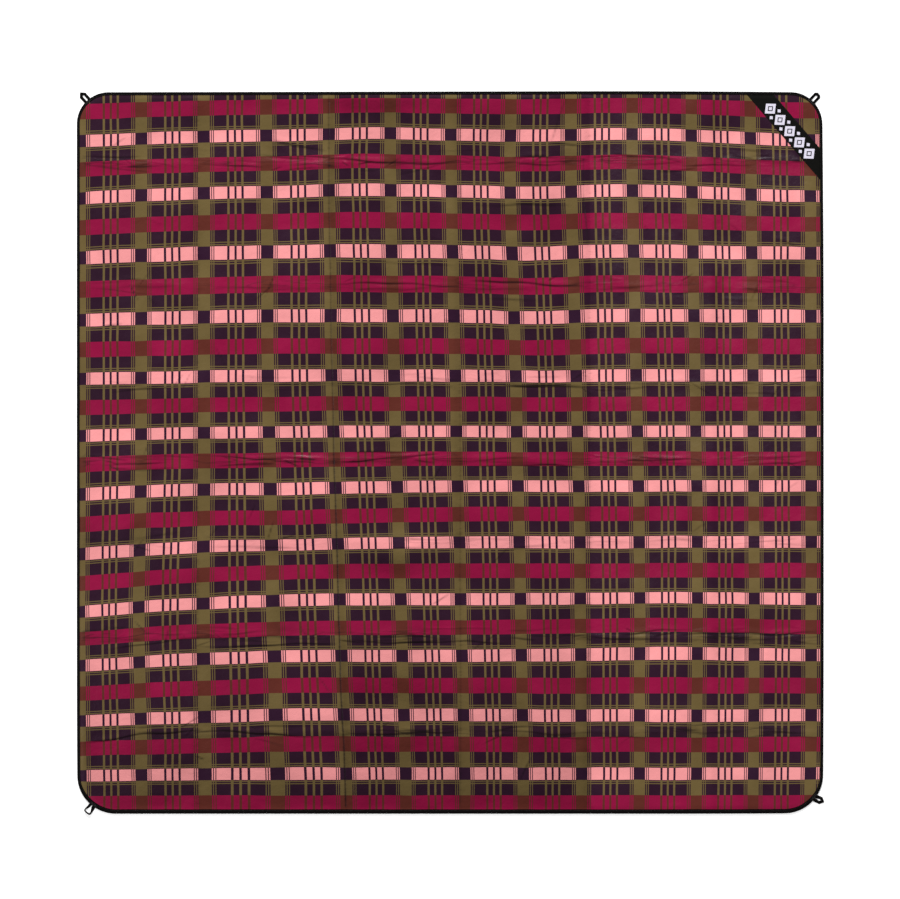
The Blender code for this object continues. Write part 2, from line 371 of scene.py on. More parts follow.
def billow(x, y):
    """How much more the cover leans to the far side than its mesh, which has no room for taller folds."""
    right = smooth(off_crease(3, x, y) / 0.008 + 0.5)
    middle = smooth(off_crease(1, x, y) / 0.008 + 0.5) * (1 - right)
    near, far = smooth((-0.48 - y) / 0.46), smooth((y - 0.78) / 0.15)
    lean = 0.12 * right - 0.05 * middle - 0.26 * near * (1 - 0.7 * right) - 0.12 * far
    lean += 0.05 * soft_noise(x, y, 0.11, 15) + 0.035 * soft_noise(x, y, 0.045, 16) + humps(BILLOWS, x, y)
    for number, dark_side in enumerate((-1, 1, -1, -1, -1)):
        lean -= 0.12 * hump(off_crease(number, x, y), 0.009 * dark_side, 0.009)
    for level, strength in CROSS_FOLDS.items():
        off = (y - fold_path(x, level)) / 0.011
        turned = np.clip(0.5 + 1.2 * soft_noise(x, level, 0.2, 17), -0.5, 0.9)
        lean += 0.32 * strength * turned * off * np.exp(-off * off)
    free = (1 - over_label(x, y, 0.012)) * smooth((edge_distance(x, y) - TAPE_WIDTH) / 0.02)
    return np.clip(lean, -0.4, 0.17) * free


def cover_top(x, y):
    rise, crease_shade, pucker = relief(x, y)
    free = smooth((edge_distance(x, y) - tape_width(y)) / 0.011)
    return COVER_RIM + free * (COVER_FIELD - COVER_RIM + rise), crease_shade * free, pucker * free


def backing_bottom(x, y):
    """The underside, with shallow dents, and lifted where the tape holds it."""
    dent = 0.00035 * (1 + soft_noise(x, y, 0.09, 5)) + 0.00015 * (1 + soft_noise(x, y, 0.03, 6))
    for level, strength in CROSS_FOLDS.items():
        sway = 0.006 * soft_noise(x, level, 0.11, 7)
        dent += 0.0007 * strength * hump(y - sway, level, 0.0055)
    for place in CREASES:
        dent += 0.0005 * hump(x, place, 0.004)
    held = smooth((edge_distance(x, y) - TAPE_UNDER) / 0.009)
    return BACKING_RIM * (1 - held) + held * 0.55 * dent


# ---- the print


# How the print is pulled to the left, and how far it sags: rows for humps().
ANYWHERE = 1e9
PULLED_LEFT = (
    (0.0085, 0.56, 0.3, -0.2, 0.55), (-0.007, 0.2, 0.2, 0.72, 0.3),
    (-0.005, -0.32, 0.22, 0.15, 0.32), (-0.007, -0.8, 0.16, -0.45, 0.22),
)
SAGS = (
    (0.0215, 0, ANYWHERE, 0.22, 0.295), (-0.008, 0, ANYWHERE, 0.69, 0.13),
    (-0.005, 0, ANYWHERE, 0.54, 0.08), (-0.0035, 0, ANYWHERE, -0.545, 0.07),
    (0.009, -0.43, 0.3, -0.169, 0.13), (-0.01, 0.58, 0.36, -0.49, 0.12),
    (-0.004, -0.35, 0.38, -0.7, 0.15), (-0.005, -0.22, 0.12, 0.8, 0.14),
    (0.0065, 0.2, 0.14, 0.5, 0.38),
)


def print_place(x, y):
    """Where a point of the mat falls on the print, which isn't quite square to it."""
    across, along = (x - LEFT) / (RIGHT - LEFT), (FAR - y) / (FAR - NEAR)
    drawn = 0.017 * np.sin(math.pi * np.clip((across - 0.085) / 0.89, 0, 1))
    lean = 0.046 * smooth((across - 0.14) / 0.22) * (1 - np.clip((across - 0.38) / 0.6, 0, 1))
    lean = lean * np.clip((along - 0.067) / 0.88, 0, 1) ** 1.3 + humps(PULLED_LEFT, x, y)
    left = np.clip(1 - (across - 0.024) / 0.336, 0, 1.08) ** 2 * smooth((y + 0.97) / 0.18)
    sag = left * (0.006 + 0.011 * hump(y, 0.677, 0.3) + 0.025 * hump(y, -0.357, 0.335))
    sag += 0.015 * smooth((across - 0.76) / 0.22) * hump(y, 0.77, 0.21) + humps(SAGS, x, y)
    sag += 0.0012 * soft_noise(x, y, 0.15, 8) + 0.0008 * soft_noise(x, y, 0.05, 9)
    slide = 0.001 * soft_noise(x, y, 0.15, 10) + 0.0006 * soft_noise(x, y, 0.05, 12)
    return x - LEFT - FIRST_BAND - drawn - lean + slide, y + sag - FIRST_ROW


# ---- meshes


def surface_normals(x, y, z, lean=0.0):
    """Normals of a height over the grid, leaning a little to the far side."""
    points = np.stack([x, y, z], axis=-1)
    facing = np.cross(np.gradient(points, axis=1), np.gradient(points, axis=0))
    facing /= np.linalg.norm(facing, axis=-1, keepdims=True)
    facing[..., 1] += lean
    return facing / np.linalg.norm(facing, axis=-1, keepdims=True)


def lowest_near(z, reach):
    """The lowest height within that many grid steps of each point."""
    for axis in (0, 1):
        places = np.arange(z.shape[axis])
        steps = range(-reach, reach + 1)
        z = np.minimum.reduce([np.take(z, places + step, axis, mode="clip") for step in steps])
    return z


def settled(vertices):
    """The mat as it lies: its corners are drawn in by a millimetre or three."""
    points = np.array(vertices, float)
    x, y = points[:, 0].copy(), points[:, 1].copy()
    left, right, near, far = (np.clip(v, 0, 1) for v in (-x, x, -y / HALF_LENGTH, y / HALF_LENGTH))
    to_left, to_right = np.clip((0.4 - x) / 1.4, 0, 1), np.clip((x - 0.4) / 0.6, 0, 1)
    points[:, 1] -= far * (0.003 * to_left + 0.0034 * to_right**2)
    points[:, 1] += near * 0.0016 * np.clip((x - 0.6) / 0.4, 0, 1) ** 2
    points[:, 0] -= right * (0.0034 * np.clip((y - 0.3) / 0.6, 0, 1) ** 2 + 0.0026 * near**6)
    points[:, 0] += left * 0.0024 * near**6
    return points.tolist()


def link(name, vertices, faces, material, of_mat=True):
    mesh = bpy.data.meshes.new(name)
    mesh.from_pydata(settled(vertices) if of_mat else vertices, [], faces)
    mesh.materials.append(material)
    obj = bpy.data.objects.new(name, mesh)
    bpy.context.scene.collection.objects.link(obj)
    return obj


def give_map(obj, places):
    """Gives the mesh the map its material reads: one place for each vertex."""
    mesh = obj.data
    corner = np.zeros(len(mesh.loops), np.int32)
    mesh.loops.foreach_get("vertex_index", corner)
    layer = mesh.uv_layers.new(name="cloth")
    layer.data.foreach_set("uv", np.asarray(places, np.float32)[corner].ravel())


def shell_faces(rows, columns, step):
    """Faces of a closed sheet: a fine top, every step-th point as a bottom, and a rim."""
    top = np.arange(rows * columns).reshape(rows, columns)
    keep_rows = [*range(0, rows - 1, step), rows - 1]
    keep_columns = [*range(0, columns - 1, step), columns - 1]
    bottom = top.size + np.arange(len(keep_rows) * len(keep_columns)).reshape(len(keep_rows), -1)
    faces = []
    for sheet in (top, bottom.T):
        around = sheet[:-1, :-1], sheet[:-1, 1:], sheet[1:, 1:], sheet[1:, :-1]
        faces += np.stack(around, -1).reshape(-1, 4).tolist()
    sides = (
        (top[0], bottom[0], keep_columns, False), (top[-1], bottom[-1], keep_columns, True),
        (top[:, 0], bottom[:, 0], keep_rows, True), (top[:, -1], bottom[:, -1], keep_rows, False),
    )
    for above, below, keep, turned in sides:
        for k, (a, b) in enumerate(zip(keep, keep[1:])):
            face = [int(below[k]), int(below[k + 1]), *above[a:b + 1][::-1].tolist()]
            faces.append(face[::-1] if turned else face)
    return faces, keep_rows, keep_columns


def shell(name, x, y, top, bottom, step, material, places, normals):
    """A thin closed sheet between two heights over the same grid, with a coarser bottom."""
    faces, *keep = shell_faces(*x.shape, step)

    def joined(above, below):
        size = above.shape[-1]
        return np.concatenate([above.reshape(-1, size), below[np.ix_(*keep)].reshape(-1, size)])

    points = joined(np.stack([x, y, top], -1), np.stack([x, y, bottom], -1))
    obj = link(name, points.tolist(), faces, material)
    give_map(obj, joined(places, places))
    obj.data.shade_smooth()
    above, below = normals
    obj.data.normals_split_custom_set_from_vertices(joined(above, -below).tolist())
    return obj


def bend(piece):
    """Bakes the piece's placement into its mesh."""
    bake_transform(piece)


def strips_of(kind, grid, top, bottom, step, material, places=None, lean=0.0):
    """The strips of one sheet, each across its crease, in place of two CAD panels."""
    x, y, cut = grid
    places = np.stack([x, y], -1) if places is None else places
    above, below = surface_normals(x, y, top, lean), surface_normals(x, y, bottom)
    made = []
    for strip in STRIPS:
        part = np.s_[:, cut[strip]:cut[strip + 1] + 1]
        name = f"{kind}_strip_{strip + 1}"
        piece = shell(name, x[part], y[part], top[part], bottom[part], step, material, places[part],
                      (above[part], below[part]))
        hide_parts(f"{kind}_{strip + 1}", f"{kind}_{strip + 2}")
        bend(piece)
        made.append(piece)
    return made


def add_values(pieces, cut, name, values):
    """Keeps a value for each point of the cover's top, for its material to read."""
    for piece, start, end in zip(pieces, cut, cut[1:]):
        own = np.zeros(len(piece.data.vertices), np.float32)
        top = values[:, start:end + 1].ravel()
        own[:len(top)] = top
        piece.data.attributes.new(name, "FLOAT", "POINT").data.foreach_set("value", own)


def make_sheets():
    """The printed cover, the foam and the backing."""
    grid = sheet_grid(COVER_INSET, CREASE_STEP, WRINKLE_STEP, ACROSS_STEP, ALONG_STEP)
    x, y, cut = grid
    top, crease_shade, pucker = cover_top(x, y)
    under = lowest_near(top, 4) - COVER_THICK
    places, lean = np.stack(print_place(x, y), -1), billow(x, y)
    covers = strips_of("cover", grid, top, under, 4, printed_cloth(), places, lean)
    # The painted crease shade goes to the cover's material as a value for each point.
    add_values(covers, cut, "crease_shade", crease_shade)
    add_values(covers, cut, "pucker", pucker)

    grid = sheet_grid(FOAM_INSET, 0.0025, SOFT_STEP, SOFT_STEP, SOFT_STEP)
    x, y, _ = grid
    low = backing_bottom(x, y) + BACKING_THICK + 2 * LAYER_GAP
    # The foam's coarser grid leaves room for the cover's finest wrinkles.
    room = 0.0007 * smooth((edge_distance(x, y) - TAPE_WIDTH) / 0.02)
    high = lowest_near(cover_top(x, y)[0] - room, 1) - COVER_THICK - LAYER_GAP
    foams = strips_of("foam", grid, high, low, 1, foam_sheet())

    grid = sheet_grid(COVER_INSET, 0.002, 0.0045, 0.008, 0.008)
    low = backing_bottom(*grid[:2])
    backings = strips_of("backing", grid, low + BACKING_THICK, low, 1, coated_cloth())


# ---- the edge tape


# The tape's top leg across its width: shares of the width, and how far each dips.
TAPE_LEG = ((1, -0.00002), (0.97, 0.00004), (0.86, 0), (0.76, -0.00012), (0.66, 0), (0.5, 0.00006))


def tape_section(x, y, inward):
    """A cross section of the tape, as a closed ring: top leg, fold and under leg."""
    width = tape_width(y) + 0.00035 * soft_noise(x, y, 0.05, 21)
    lift = tape_lift(x, y) + 0.00012 * soft_noise(x, y, 0.04, 22)
    half = TAPE_TOP / 2
    outer = [(share * width, TAPE_TOP + dip + lift) for share, dip in TAPE_LEG]
    inner = [(inset, z - TAPE_THICK) for inset, z in outer]
    for turn in range(90, -105, -15):
        out, up = max(math.cos(math.radians(turn)), 0.0), math.sin(math.radians(turn))
        rise = lift * max(up, 0.0)
        outer.append((TAPE_FOLD * (1 - out), half + half * up + rise))
        inner.append((TAPE_FOLD - (TAPE_FOLD - TAPE_THICK) * out, half + (half - TAPE_THICK) * up + rise))
    outer += [(share * TAPE_UNDER, 0.0) for share in (0.5, 0.8, 1.0)]
    inner += [(share * TAPE_UNDER, TAPE_THICK) for share in (0.5, 0.8, 1.0)]
    return [(x + inset * inward[0], y + inset * inward[1], z) for inset, z in outer + inner[::-1]]


def tape_lift(x, y):
    """The tape rises over the label band's ends."""
    return 0.00055 * over_label(x, y, 0.01)


def corner_run(side_x, side_y):
    """Edge points and inward directions round one corner, counter-clockwise."""
    radius = FAR_RADIUS if side_y > 0 else NEAR_RADIUS
    x, y = side_x * (HALF_WIDTH - radius), side_y * (HALF_LENGTH - radius)
    first = {(1, 1): 0, (-1, 1): 90, (-1, -1): 180, (1, -1): 270}[side_x, side_y]
    turns = [math.radians(first + 90 * step / 32) for step in range(33)]
    ways = [(math.cos(a), math.sin(a)) for a in turns]
    return [(x + radius * p, y + radius * q, (-p, -q)) for p, q in ways]


def edge_runs():
    """The mat's edge in counter-clockwise runs: their strip, name, points and CAD nodes."""
    side = np.linspace(NEAR + NEAR_RADIUS, FAR - FAR_RADIUS, 240)[1:-1]
    runs = []
    for strip in STRIPS:
        ends = []
        for level, radius, inward in ((NEAR, NEAR_RADIUS, 1.0), (FAR, FAR_RADIUS, -1.0)):
            limit = HALF_WIDTH - radius
            stops = np.clip(CUTS[strip:strip + 2], -limit, limit)
            ends.append([(p, level, (0.0, inward)) for p in graded(stops, CREASES, 0.01, 0.0018, 0.007)])
        near, far = ends
        far.reverse()
        if strip == 0:
            far += corner_run(-1, 1)[1:] + [(LEFT, p, (1.0, 0.0)) for p in side[::-1]]
            nodes = ["binding_1", "binding_2_far", "binding_2_near"]
            runs.append((strip, "left_end", far + corner_run(-1, -1) + near[1:], nodes))
        elif strip == STRIPS[-1]:
            near += corner_run(1, -1)[1:] + [(RIGHT, p, (-1.0, 0.0)) for p in side]
            nodes = ["binding_6", "binding_5_far", "binding_5_near"]
            runs.append((strip, "right_end", near + corner_run(1, 1) + far[1:], nodes))
        else:
            for end, run in (("near", near), ("far", far)):
                nodes = [f"binding_{strip + 1}_{end}", f"binding_{strip + 2}_{end}"]
                runs.append((strip, f"{end}_{strip + 1}", run, nodes))
    return runs


def tube_faces(rings, size):
    """The faces between closed rings of points, and the caps at both ends."""
    index = np.arange(rings * size).reshape(rings, size)
    nearby = np.roll(index, -1, axis=1)
    walls = np.stack([index[:-1], nearby[:-1], nearby[1:], index[1:]], -1).reshape(-1, 4)
    return walls, np.stack([index[0][::-1], index[-1]])


def sweep(name, rings, material):
    """A skin through closed rings of points, capped at both ends."""
    walls, caps = tube_faces(len(rings), len(rings[0]))
    return link(name, sum(rings, []), walls.tolist() + caps.tolist(), material)


def make_tape(thread):
    """The black tape folded over the edge, and the threads that sew it down."""
    tape = ribbed_tape("edge_tape", 0.0011)
    for strip, name, run, nodes in edge_runs():
        rings = [tape_section(*point) for point in run]
        piece = sweep(f"edge_tape_{name}", rings, tape)
        length = np.cumsum([0.0] + [math.dist(a[:2], b[:2]) for a, b in zip(run, run[1:])])
        give_map(piece, [(0.0009 * k, s) for s in length for k in range(len(rings[0]))])
        face_out(piece)
        piece.data.shade_smooth()
        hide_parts(*nodes)
        sewing = stitches(f"tape_thread_{name}", edge_stitches(run), 0.00022, thread)
        bend(piece)
        bend(sewing)


def face_out(obj):
    """Turns every face of a closed mesh outwards."""
    shape = bmesh.new()
    shape.from_mesh(obj.data)
    bmesh.ops.recalc_face_normals(shape, faces=shape.faces)
    shape.to_mesh(obj.data)
    shape.free()


def edge_stitches(run):
    """Ends of the stitches along a run, one row on top of the tape and one under it."""
    points, inward = np.array([p[:2] for p in run]), np.array([p[2] for p in run])
    even = np.ones(len(run))
    top = 0.74 * tape_width(points[:, 1]), TAPE_TOP - 0.00006 + tape_lift(*points.T)
    starts, ends = [], []
    for inset, level in (top, (0.78 * TAPE_UNDER * even, 0.00012 * even)):
        line = np.column_stack([points + inward * inset[:, None], level])
        along = np.concatenate([[0], np.cumsum(np.linalg.norm(np.diff(line, axis=0), axis=1))])
        count = int(along[-1] / STITCH_PITCH)
        at = (np.arange(count) + 0.5) * along[-1] / count
        for shift, out in ((-0.0013, starts), (0.0013, ends)):
            out.append(np.stack([np.interp(at + shift, along, line[:, k]) for k in range(3)], -1))
    return np.concatenate(starts), np.concatenate(ends)


def stitches(name, ends, radius, material):
    """Short threads, each a little arch whose ends sink into the cloth."""
    start, end = ends
    count = len(start)
    shares = np.array([0.0, 0.2, 0.5, 0.8, 1.0])
    arch = np.array([-0.4, 0.5, 0.8, 0.5, -0.4]) * radius
    girth = np.array([0.55, 1.0, 1.0, 1.0, 0.55]) * radius
    run = end - start
    along = run / np.linalg.norm(run, axis=1, keepdims=True)
    aside = np.stack([-along[:, 1], along[:, 0], np.zeros(count)], -1)
    turns = np.radians(np.arange(5) * 72 + 90)
    centre = start[:, None] + shares[None, :, None] * run[:, None]
    out = np.where(start[:, 2] > 0.001, 1.0, -1.0)
    centre[..., 2] += arch[None] * out[:, None]
    ring = np.cos(turns)[:, None] * aside[:, None, None] * girth[:, None, None]
    points = centre[:, :, None] + ring
    points[..., 2] += np.sin(turns)[None, None] * girth[None, :, None]
    walls, caps = tube_faces(5, 5)
    first = np.arange(count)[:, None, None] * 25
    faces = (walls + first).reshape(-1, 4).tolist() + (caps + first).reshape(-1, 5).tolist()
    obj = link(name, points.reshape(-1, 3).tolist(), faces, material)
    give_map(obj, points.reshape(-1, 3)[:, :2])
    obj.data.shade_smooth()
    return obj


# ---- the label band


def label_axes():
    """The band's direction, and the way out to the corner."""
    along = Vector((LABEL_ALONG_FAR, -LABEL_ALONG_RIGHT, 0.0)).normalized()
    return along, Vector((-along.y, along.x, 0.0))


def label_map(x, y):
    """Places on the band's own map: along it and across it."""
    along, aside = label_axes()
    return np.stack([x * along.x + y * along.y, x * aside.x + y * aside.y], -1)


def label_point(share, across):
    """A point of the band, from share 0 at the far edge to 1 at the right edge."""
    along, aside = label_axes()
    corner = Vector((RIGHT - LABEL_ALONG_FAR, FAR, 0.0)) + aside * across
    tuck = 0.005
    first = corner + along * ((FAR - tuck - corner.y) / along.y)
    last = corner + along * ((RIGHT - tuck - corner.x) / along.x)
    return first.lerp(last, share)


def label_height(x, y):
    """The band's underside, which goes down under the tape at its ends."""
    free = smooth((edge_distance(x, y) - TAPE_WIDTH + 0.001) / 0.012)
    return COVER_RIM + 0.00012 + free * (LABEL_LEVEL - COVER_RIM - 0.00012)


def make_label(thread):
    """The black band across the corner, its motif and its threads."""
    ends_of_band, middle = np.linspace(0, 0.08, 12), np.linspace(0.08, 0.92, 60)
    shares = [*ends_of_band[:-1], *middle[:-1], *np.linspace(0.92, 1, 12)]
    rim = np.array([0, 0.0006, 0.0016, 0.003])
    sides = np.array([*rim, *np.linspace(0.006, LABEL_WIDTH - 0.006, 12), *(LABEL_WIDTH - rim[::-1])])
    plan = np.array([[label_point(s, w)[:2] for s in shares] for w in sides])
    x, y = plan[..., 0], plan[..., 1]
    from_side = np.minimum(sides, LABEL_WIDTH - sides)[:, None]
    hem = 0.00012 * smooth((0.0035 - from_side) / 0.001) - 0.00022 * smooth((0.0008 - from_side) / 0.0008)
    low = label_height(x, y)
    top = low + LABEL_THICK + hem
    normals = surface_normals(x, y, top), surface_normals(x, y, low)
    band = shell("label_band_cloth", x, y, top, low, 1, label_cloth(), label_map(x, y), normals)
    face_out(band)
    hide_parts("label_band")
    starts, ends = [], []
    for across in (0.0022, LABEL_WIDTH - 0.0022):
        line = np.array([label_point(s, across) for s in np.linspace(0.045, 0.955, 200)])
        line[:, 2] = label_height(line[:, 0], line[:, 1]) + LABEL_THICK + 0.0001
        starts.append(line[:-2:2] * 0.85 + line[1:-1:2] * 0.15)
        ends.append(line[1:-1:2])
    motif = make_motif()
    sewing = stitches("label_thread", (np.concatenate(starts), np.concatenate(ends)), 0.0002, thread)
    for piece in (band, motif, sewing):
        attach(piece, "panel_6")


def make_motif():
    """The motif in pale thread: framed diamonds with a core, and small plain ones between them."""
    along, aside = label_axes()
    low, high = LABEL_LEVEL + LABEL_THICK - 0.0001, LABEL_LEVEL + LABEL_THICK + 0.00022
    middle = label_point(0.5, LABEL_WIDTH / 2 - 0.004) + along * MOTIF_SHIFT
    diamonds = []
    for number in range(MOTIF_COUNT):
        place = MOTIF_PITCH * (number - (MOTIF_COUNT - 1) / 2)
        diamonds += [(place, 0, 0.0178, 0.0198, 0.5), (place, 0, 0.0054, 0.0062, 0)]
        if number:
            diamonds += [(place - MOTIF_PITCH / 2, side * 0.014, 0.0058, 0.0056, 0) for side in (-1, 1)]
    vertices, faces = [], []
    for place, off, half_long, half_wide, hole in diamonds:
        centre = middle + along * place + aside * off
        corners = [along * half_long, aside * half_wide, along * -half_long, aside * -half_wide]
        first = len(vertices)
        rings = ((low, 1), (high, 1), (high, hole), (low, hole))[:4 if hole else 2]
        for z, share in rings:
            vertices += [(*(centre + c * share)[:2], z) for c in corners]
        for ring in range(len(rings) if hole else 1):
            a, b = first + 4 * ring, first + 4 * ((ring + 1) % len(rings))
            faces += [[a + k, a + (k + 1) % 4, b + (k + 1) % 4, b + k] for k in range(4)]
        if not hole:
            faces += [[first + k for k in (3, 2, 1, 0)], [first + k for k in (4, 5, 6, 7)]]
    motif = link("label_motif", vertices, faces, pale_thread())
    face_out(motif)
    give_map(motif, label_map(*np.array(vertices)[:, :2].T))
    return motif


# ---- the peg loops


def webbing_ring(centre, half_width, thick):
    """A cross section of flat webbing with rounded edges."""
    shape = [(1.0, 0.0), (0.985, 0.55), (0.93, 0.88), (0.6, 1.0)]
    shape += [(0.0, 1.05), (-0.6, 1.0), (-0.93, 0.88), (-0.985, 0.55)]
    shape += [(-p, -q) for p, q in shape]
    return [tuple(centre + half_width * p + thick * q) for p, q in shape]


def loop_level(u):
    """The loop leaves the tape at half its height and lies down on the ground."""
    return LOOP_ROOT - (LOOP_ROOT - WEBBING_THICK / 2 - 0.0001) * float(smooth((u - 0.001) / 0.006))


def flat_loop(eye, reach=LOOP_REACH, blunt=0.0, shut=0.001):
    """Stations of a loop that lies flat, its legs shut together so far out: centre, half width and
    half thickness. Its tip is pointed or blunt.
    """
    root, end = -0.002, shut + 0.006
    shoulder = reach - LOOP_HALF + blunt
    tip_inside = reach - (LOOP_HALF - eye) * (1 if blunt else math.sqrt(2))
    apart = 0.0002 if shut > 0.001 else eye
    outer = [*((u, LOOP_HALF) for u in (root, shut, end, shoulder)), (reach, blunt)]
    inner = [(root, apart), (shut, apart), (end, eye), (tip_inside - eye * 0.9, eye), (tip_inside, 0.0)]
    outer, inner = ([Vector((*p, 0)) for p in line] for line in (outer, inner))
    leg_stations = []
    for a, b, c, d, pieces in zip(outer, outer[1:], inner, inner[1:], (2, 6, 5, 6)):
        leg_stations += [(a.lerp(b, k / pieces), c.lerp(d, k / pieces)) for k in range(pieces)]
    other_leg = [[Vector((p.x, -p.y, 0)) for p in pair] for pair in leg_stations[::-1]]
    stations = []
    for out, into in [*leg_stations, (outer[-1], inner[-1]), *other_leg]:
        centre = (out + into) / 2
        tip = float(smooth((centre.x - 0.016) / 0.003))
        centre.z = loop_level(centre.x) + 0.0003 * tip
        stations.append((centre, (out - into) / 2, Vector((0, 0, WEBBING_THICK / 2 + 0.0003 * tip))))
    return stations


def through(points, pieces):
    """A smooth line through the points, with that many steps from each to the next."""
    points = [Vector((*p, 0)) for p in points]
    ends = [2 * points[0] - points[1], *points, 2 * points[-1] - points[-2]]
    line = []
    for a, b, c, d in zip(ends, ends[1:], ends[2:], ends[3:]):
        for k in range(pieces):
            t = k / pieces
            bow = (2 * a - 5 * b + 4 * c - d) * t**2 + (3 * b - a - 3 * c + d) * t**3
            line.append(b + ((c - a) * t + bow) / 2)
    return [*line, points[-1]]


# The open loop's outer and inner edges, seen from above, in millimetres from its root.
OPEN_OUTER = (
    (-2, -9.8), (3, -10.0), (10, -10.3), (17, -10.7), (21.6, -9.4), (23.6, -5.0), (24.0, 1.0),
    (23.6, 7.0), (21.5, 10.6), (16, 11.0), (9, 10.6), (3, 10.2), (-2, 9.8),
)
OPEN_INNER = (
    (-2, -2.4), (3, -2.2), (9, -3.4), (15, -6.2), (19.4, -7.6), (21.2, -4.4), (21.5, 0.4),
    (21.0, 4.4), (19.0, 6.6), (14.5, 5.4), (8, 2.2), (3, 0.6), (-2, 0.4),
)


def open_loop():
    """Stations of a loop whose webbing has twisted on edge, so that it stands open."""
    outer, inner = through(OPEN_OUTER, 5), through(OPEN_INNER, 5)
    full = (LOOP_HALF - 0.003) / 2
    middle = [(a + b) / 2000 for a, b in zip(outer, inner)]
    stations = []
    for k, (centre, out, into) in enumerate(zip(middle, outer, inner)):
        forward = (middle[min(k + 1, len(middle) - 1)] - middle[max(k - 1, 0)]).normalized()
        half = (out - into) / 2000
        half.z = math.sqrt(max(full**2 - half.length**2, 0.0))
        thick = half.cross(forward).normalized() * (WEBBING_THICK / 2)
        if thick.z < 0 or (abs(thick.z) < 1e-9 and thick.dot(centre) > 0):
            thick = -thick
        centre.z = loop_level(centre.x) + half.z
        stations.append((centre, half, thick))
    return stations


def make_loops(thread):
    """The webbing loops at the corners, and the stitches that hold them."""
    webbing = ribbed_tape("peg_webbing", 0.0013)
    shapes = (
        ("far_left", 0, flat_loop(0.0023)),
        ("far_right", 0, flat_loop(0.0027, reach=0.0262, blunt=0.0045)),
        ("near_right", 12, flat_loop(0.0019, reach=0.027, shut=0.004)),
        ("near_left", 0, open_loop()),
    )
    for corner, swing, stations in shapes:
        joint = JOINTS[f"loop_flap_{corner}"]
        hinge = Vector(joint["pos_m"][:2] + [0.0])
        ahead = Vector((-joint["axis"][1], joint["axis"][0], 0.0))
        aside = Vector((-ahead.y, ahead.x, 0.0))
        frame_of = Matrix((ahead, aside, (0, 0, 1))).transposed()
        turn = Matrix.Rotation(math.radians(swing), 3, "Z") @ frame_of
        rings = [webbing_ring(hinge + turn @ c, turn @ w, turn @ t) for c, w, t in stations]
        loop = sweep(f"peg_loop_webbing_{corner}", rings, webbing)
        length = np.cumsum([0.0] + [(b[0] - a[0]).length for a, b in zip(stations, stations[1:])])
        across = [*np.linspace(0, 0.007, 8), *np.linspace(0.007, 0, 8)]
        give_map(loop, [(g, s) for s in length for g in across])
        face_out(loop)
        loop.data.shade_smooth()
        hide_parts(f"peg_loop_{corner}")
        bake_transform(loop)
        tack = bar_tack(corner, hinge, ahead, aside, thread)
        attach(tack, joint["parent"])


def bar_tack(corner, hinge, ahead, aside, thread):
    """The close stitching over the tape that holds a loop's two ends."""
    starts, ends = [], []
    for k in range(25):
        v = (k / 24 - 0.5) * 2 * LOOP_HALF
        base = hinge + aside * (v + 0.0003 * (k % 2)) + Vector((0, 0, TAPE_TOP + 0.00005))
        for u in (-0.0031, -0.0056):
            starts.append(base + ahead * u)
            ends.append(base + ahead * (u - 0.0021) + aside * 0.0004)
    return stitches(f"bar_tack_{corner}", (np.array(starts), np.array(ends)), 0.00024, thread)


# ---- materials


def principled(name, values):
    """A material, and the inputs of its Principled shader with these values set."""
    material = bpy.data.materials.new(name)
    material.use_nodes = True
    inputs = material.node_tree.nodes["Principled BSDF"].inputs
    for key, value in values.items():
        inputs[key].default_value = value
    return material, inputs


